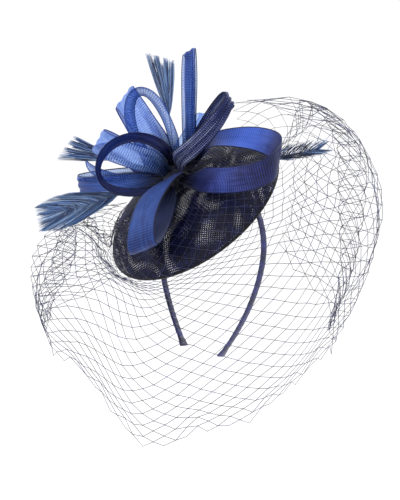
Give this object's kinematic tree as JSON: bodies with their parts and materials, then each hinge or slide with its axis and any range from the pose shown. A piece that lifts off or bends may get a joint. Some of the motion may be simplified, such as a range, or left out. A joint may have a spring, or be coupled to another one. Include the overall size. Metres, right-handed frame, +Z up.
{
  "type": "fascinator hat",
  "caption": "Fascinator worn on a headband: tilted round woven-straw base with looped crin ribbons, brush feathers and a wide net veil.",
  "frame": {"origin": "middle of the headband's inner face at its top, where it sits on the crown of the head", "axes": "+Z up, the headband lies in the XZ plane, the wearer looks along -Y, and the wearer's right is -X"},
  "size_m": [0.2348, 0.247, 0.2771],
  "materials": {
    "straw": "open woven sinamay straw, matt",
    "crin": "translucent horsehair braid with a soft sheen",
    "satin": "satin ribbon wrapped on a flexible core",
    "feather": "dyed feather, matt",
    "net": "knotted veiling net, matt"
  },
  "bodies": {
    "root": {"feather_left": "feather", "feather_low": "feather", "feather_right": "feather", "feather_upper": "feather", "hat_base": "straw", "headband": "satin", "knot": "crin", "loop_left_back": "crin", "loop_left_low": "crin", "loop_left_ring": "crin", "loop_left_small": "crin", "loop_pale_back": "crin", "loop_upper_back": "crin", "loop_upper_left": "crin", "loop_upper_right": "crin", "loop_upright": "crin", "loop_wide_low": "crin", "loop_wide_right": "crin", "veil": "net"}
  },
  "joints": []
}
